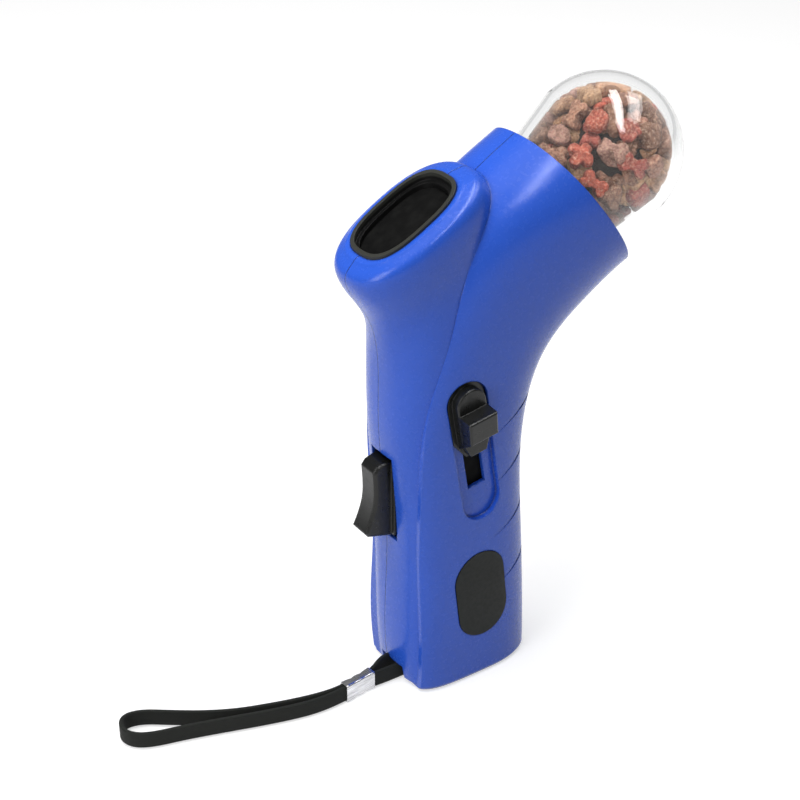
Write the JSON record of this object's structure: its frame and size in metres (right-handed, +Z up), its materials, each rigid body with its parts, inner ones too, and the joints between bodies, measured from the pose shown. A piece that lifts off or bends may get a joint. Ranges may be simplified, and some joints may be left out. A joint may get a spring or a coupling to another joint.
{
  "type": "treat dispenser",
  "caption": "Hand-held treat launcher: blue grip with a slanted black muzzle, side cocking slider, front push button, clear domed treat jar and wrist strap.",
  "frame": {"origin": "middle of the flat base, where the two housing halves meet", "axes": "+Z up from the base along the grip, +X from the muzzle side to the jar side, +Y to the left side, away from the cocking slider"},
  "size_m": [0.2071, 0.0548, 0.2024],
  "materials": {
    "blue_shell": "gloss",
    "black_gloss": "satin gloss",
    "black_rubber": "matte",
    "inner_plastic": "matte",
    "socket_blue": "gloss",
    "clear_plastic": "clear, polished",
    "dry_treats": "matte, dry",
    "steel": "zinc plated",
    "spring_steel": "drawn wire",
    "webbing": "woven",
    "crimp_metal": "bright"
  },
  "bodies": {
    "housing": {"housing_right": "blue_shell", "housing_left": "blue_shell", "launch_barrel": "black_gloss", "stop_bumper": "black_rubber", "trigger_pin": "steel", "trigger_spring": "spring_steel", "launch_spring": "spring_steel", "hopper_socket": "socket_blue", "feed_chute": "inner_plastic", "jar_seal": "black_rubber", "pad_right": "black_rubber", "pad_left": "black_rubber", "strap_post": "steel", "strap_ferrule": "crimp_metal", "strap_hitch": "webbing", "wrist_loop": "webbing", "housing_screws": "steel"},
    "plunger": {"launch_plate": "black_gloss", "plunger_rod": "steel", "slider_carriage": "black_gloss", "slider_knob": "black_gloss", "knob_screw": "steel"},
    "trigger_lever": {"trigger": "black_gloss"},
    "jar": {"hopper_jar": "clear_plastic", "treat_load": "dry_treats"}
  },
  "joints": [
    {"name": "plunger_slide", "type": "slide", "parent": "housing", "child": "plunger", "axis": [0.1736, 0, -0.9848], "range_m": [0, 0.022], "stiffness_N_per_m": 150, "springref_m": -0.012, "deforming": ["launch_spring"]},
    {"name": "trigger_press", "type": "hinge", "parent": "housing", "child": "trigger_lever", "pos_m": [-0.023, 0, 0.082], "axis": [0, -1, 0], "range_deg": [0, 8], "stiffness_Nm_per_rad": 0.1, "springref_deg": -11.46, "deforming": ["trigger_spring"]},
    {"name": "jar_pull", "type": "slide", "parent": "housing", "child": "jar", "axis": [0.8387, 0, 0.5446], "range_m": [0, 0.036]}
  ]
}
